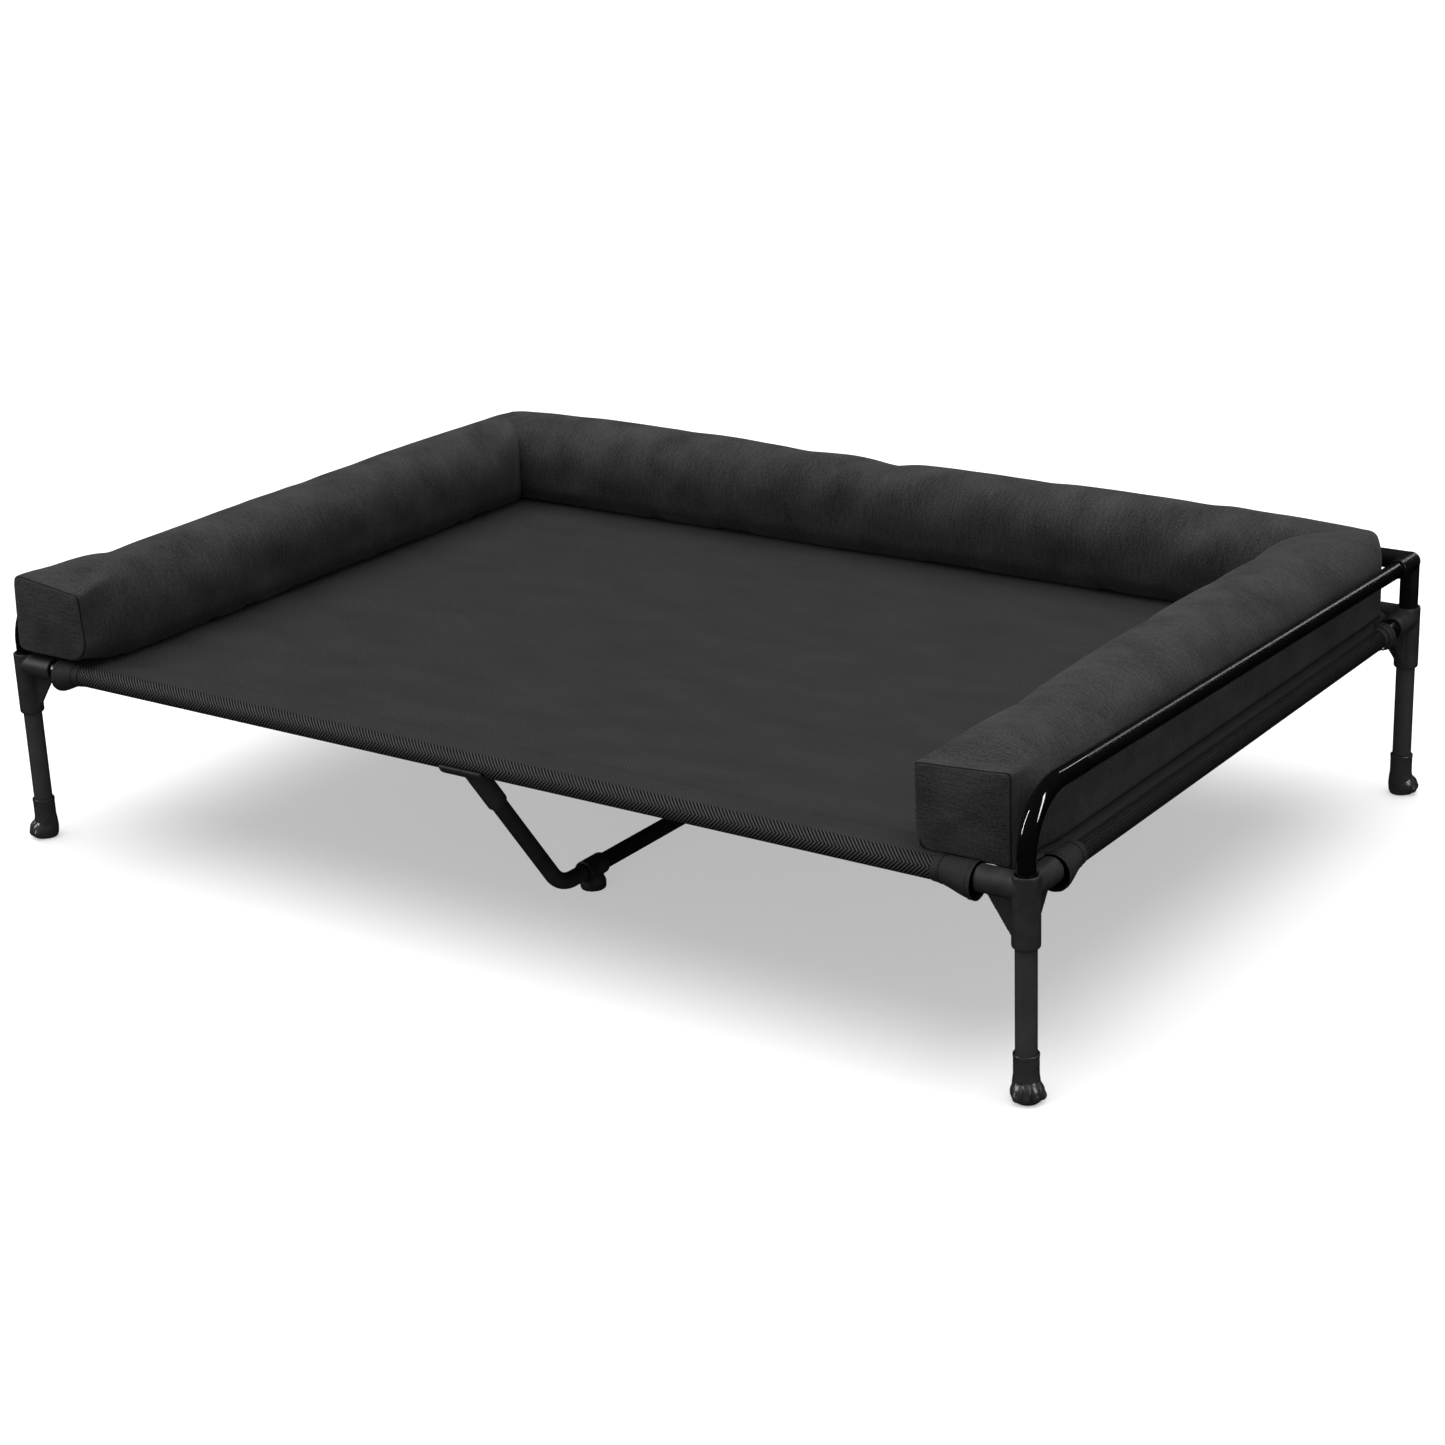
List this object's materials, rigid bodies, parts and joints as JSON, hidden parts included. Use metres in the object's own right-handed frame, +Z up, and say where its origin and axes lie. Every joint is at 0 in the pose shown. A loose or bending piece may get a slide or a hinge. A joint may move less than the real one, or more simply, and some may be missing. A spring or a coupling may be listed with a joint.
{
  "type": "raised dog bed",
  "caption": "Raised dog bed: woven sling on a round tube frame with paw feet and a bent middle brace, a lift-off U-shaped bolster and a guard rail on three sides.",
  "frame": {"origin": "on the floor under the centre of the bed", "axes": "+X along the long side to the right seen from the open front, +Y to the back, +Z up"},
  "size_m": [1.3934, 0.9634, 0.3394],
  "materials": {
    "moulded_plastic": "matte",
    "paw_plastic": "satin",
    "elbow_plastic": "satin",
    "powder_coat": "satin",
    "gloss_coat": "gloss",
    "bare_steel": "satin",
    "foot_rubber": "matte",
    "sling_mesh": "matte",
    "binding_tape": "matte",
    "cover_cloth": "matte",
    "fibre_fill": "matte"
  },
  "bodies": {
    "frame": {"connector_front_left": "moulded_plastic", "connector_front_right": "moulded_plastic", "connector_back_left": "moulded_plastic", "connector_back_right": "moulded_plastic", "brace_clip_front": "moulded_plastic", "brace_clip_back": "moulded_plastic", "leg_front_left": "powder_coat", "leg_front_right": "powder_coat", "leg_back_left": "powder_coat", "leg_back_right": "powder_coat", "rail_front_left": "powder_coat", "rail_front_right": "powder_coat", "rail_back_left": "powder_coat", "rail_back_right": "powder_coat", "rail_left": "powder_coat", "rail_right": "powder_coat", "brace_leg_front": "powder_coat", "brace_leg_back": "powder_coat", "brace_bar": "powder_coat", "paw_front_left": "paw_plastic", "paw_front_right": "paw_plastic", "paw_back_left": "paw_plastic", "paw_back_right": "paw_plastic", "brace_foot_front": "foot_rubber", "brace_foot_back": "foot_rubber", "rail_joiner_front": "bare_steel", "rail_joiner_back": "bare_steel", "sling_panel": "sling_mesh", "sleeve_front": "sling_mesh", "sleeve_back": "sling_mesh", "sleeve_left": "sling_mesh", "sleeve_right": "sling_mesh", "cuff_front_left": "binding_tape", "cuff_front_right": "binding_tape", "cuff_back_left": "binding_tape", "cuff_back_right": "binding_tape", "cuff_left_front": "binding_tape", "cuff_left_back": "binding_tape", "cuff_right_front": "binding_tape", "cuff_right_back": "binding_tape"},
    "bolster": {"cover_left": "cover_cloth", "cover_back": "cover_cloth", "cover_right": "cover_cloth", "fill_left": "fibre_fill", "fill_back": "fibre_fill", "fill_right": "fibre_fill"},
    "guard": {"guard_post_left": "gloss_coat", "guard_post_right": "gloss_coat", "guard_side_left": "gloss_coat", "guard_side_right": "gloss_coat", "guard_elbow_left": "elbow_plastic", "guard_elbow_right": "elbow_plastic", "guard_back_left": "gloss_coat", "guard_back_right": "gloss_coat", "guard_joiner": "bare_steel"},
    "front_button": {"brace_button_front": "bare_steel"},
    "back_button": {"brace_button_back": "bare_steel"}
  },
  "joints": [
    {"name": "bolster_lift", "type": "slide", "parent": "frame", "child": "bolster", "axis": [0, 0, 1], "range_m": [0, 0.25]},
    {"name": "guard_lift", "type": "slide", "parent": "frame", "child": "guard", "axis": [0, 0, 1], "range_m": [0, 0.15]},
    {"name": "front_button_press", "type": "slide", "parent": "frame", "child": "front_button", "axis": [0, -0.8059, -0.592], "range_m": [0, 0.002], "stiffness_N_per_m": 900, "springref_m": -0.002},
    {"name": "back_button_press", "type": "slide", "parent": "frame", "child": "back_button", "axis": [0, 0.8059, -0.592], "range_m": [0, 0.002], "stiffness_N_per_m": 900, "springref_m": -0.002}
  ]
}
